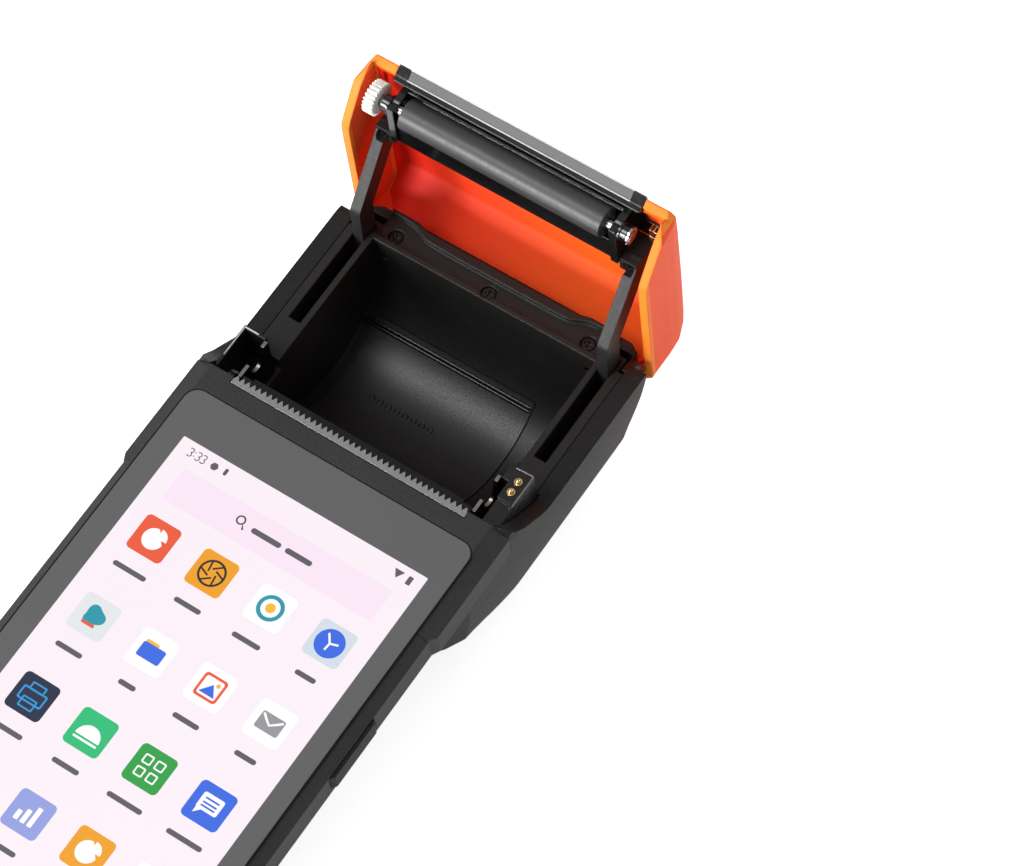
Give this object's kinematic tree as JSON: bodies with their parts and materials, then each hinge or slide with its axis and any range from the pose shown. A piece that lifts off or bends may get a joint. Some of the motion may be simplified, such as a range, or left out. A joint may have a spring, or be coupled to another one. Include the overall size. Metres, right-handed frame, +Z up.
{
  "type": "handheld pos terminal",
  "caption": "Flat handheld terminal with a large display, a thermal receipt printer behind it and a hinged orange lid that carries the roller, shown open",
  "frame": {"origin": "on the floor under the middle of the belly's rubber foot, below the paper roll's axis", "axes": "X to the right seen from above with the display's foot towards the viewer, Y from the display's foot to the hinge, Z up"},
  "size_m": [0.0796, 0.2337, 0.0778],
  "materials": {
    "charcoal_frame": "fine textured satin",
    "black_housing": "fine granular matt",
    "cover_glass": "gloss, grey border round the display",
    "screen": "lit display",
    "circuit_board": "solder resist",
    "steel_stamping": "plain",
    "battery_wrap": "shrink sleeve",
    "dark_moulding": "satin",
    "dark_lens": "gloss",
    "black_moulding": "satin",
    "black_gloss": "gloss",
    "black_steel": "black oxide",
    "foot_rubber": "matt",
    "key_rubber": "soft satin",
    "grey_steel": "satin, serrated edge",
    "head_aluminium": "plain",
    "steel_wire": "bright",
    "motor_case": "zinc plated",
    "brass_gear": "machined",
    "white_gear": "satin acetal",
    "gold_contact": "gold plated",
    "copper_contact": "copper strip",
    "orange_shell": "satin gloss",
    "grey_strip": "satin",
    "platen_rubber": "smooth satin"
  },
  "bodies": {
    "terminal": {"front_frame": "charcoal_frame", "rear_housing": "black_housing", "cover_glass": "cover_glass", "display_panel": "screen", "main_board": "circuit_board", "usb_board": "circuit_board", "usb_port": "steel_stamping", "battery_pack": "battery_wrap", "battery_door": "black_housing", "loudspeaker": "dark_moulding", "camera_module": "dark_moulding", "camera_window": "dark_lens", "paper_tub": "black_housing", "tub_plate": "black_moulding", "paper_sensor": "dark_moulding", "ledge_screws": "black_steel", "housing_screws": "black_steel", "rubber_feet": "foot_rubber", "tear_bar": "grey_steel", "printer_frame": "steel_stamping", "head_springs": "steel_wire", "stepper_motor": "motor_case", "gear_posts": "steel_wire", "gear_tower": "black_moulding", "contact_block": "black_moulding", "contact_sleeves": "gold_contact", "hinge_pins": "steel_wire", "key_switches": "steel_stamping"},
    "lid": {"lid_shell": "orange_shell", "lid_frame": "black_moulding", "left_arm": "black_moulding", "right_arm": "black_moulding", "arm_screws": "black_steel", "lip_bar": "black_gloss", "lip_strip": "grey_strip", "shaft_bushes": "black_gloss", "lid_contact": "copper_contact"},
    "roller": {"platen_rubber": "platen_rubber", "platen_shaft": "steel_wire", "platen_gear": "white_gear", "gear_clip": "steel_wire"},
    "reduction": {"reduction_gear": "white_gear"},
    "drive": {"drive_gear": "white_gear"},
    "pinion": {"motor_pinion": "brass_gear"},
    "head": {"print_head": "head_aluminium"},
    "scan": {"scan_key": "key_rubber"},
    "volume": {"volume_key": "black_moulding"},
    "power": {"power_key": "black_moulding"},
    "front_pin": {"front_plunger": "gold_contact"},
    "rear_pin": {"rear_plunger": "gold_contact"}
  },
  "joints": [
    {"name": "lid_hinge", "type": "hinge", "parent": "terminal", "child": "lid", "pos_m": [0, 0.02074, 0.02793], "axis": [1, 0, 0], "range_deg": [0, 90]},
    {"name": "platen_spin", "type": "hinge", "parent": "lid", "child": "roller", "pos_m": [0, 0.02738, 0.07118], "axis": [1, 0, 0], "continuous": true},
    {"name": "reduction_spin", "type": "hinge", "parent": "terminal", "child": "reduction", "pos_m": [0, -0.02979, 0.02489], "axis": [1, 0, 0], "continuous": true},
    {"name": "drive_spin", "type": "hinge", "parent": "terminal", "child": "drive", "pos_m": [0, -0.02736, 0.02988], "axis": [1, 0, 0], "continuous": true},
    {"name": "motor_spin", "type": "hinge", "parent": "terminal", "child": "pinion", "pos_m": [0, -0.03411, 0.02009], "axis": [1, 0, 0], "continuous": true},
    {"name": "head_pivot", "type": "hinge", "parent": "terminal", "child": "head", "pos_m": [0, -0.02643, 0.02513], "axis": [1, 0, 0], "range_deg": [0, 2], "stiffness_Nm_per_rad": 0.6, "springref_deg": -2.86, "deforming": ["head_springs"]},
    {"name": "scan_press", "type": "slide", "parent": "terminal", "child": "scan", "axis": [-1, 0, 0], "range_m": [0, 0.00035], "stiffness_N_per_m": 3000, "springref_m": -0.0001},
    {"name": "volume_press", "type": "slide", "parent": "terminal", "child": "volume", "axis": [1, 0, 0], "range_m": [0, 0.00035], "stiffness_N_per_m": 3000, "springref_m": -0.0001},
    {"name": "power_press", "type": "slide", "parent": "terminal", "child": "power", "axis": [1, 0, 0], "range_m": [0, 0.00035], "stiffness_N_per_m": 3000, "springref_m": -0.0001},
    {"name": "front_pin_press", "type": "slide", "parent": "terminal", "child": "front_pin", "axis": [0, 0.1394, -0.9902], "range_m": [0, 0.0008], "stiffness_N_per_m": 600, "springref_m": -0.0005},
    {"name": "rear_pin_press", "type": "slide", "parent": "terminal", "child": "rear_pin", "axis": [0, 0.1394, -0.9902], "range_m": [0, 0.0008], "stiffness_N_per_m": 600, "springref_m": -0.0005}
  ],
  "couplings": [
    {"joint": "drive_spin", "follows": "reduction_spin", "ratio": -0.7619},
    {"joint": "motor_spin", "follows": "reduction_spin", "ratio": -1.6875}
  ]
}
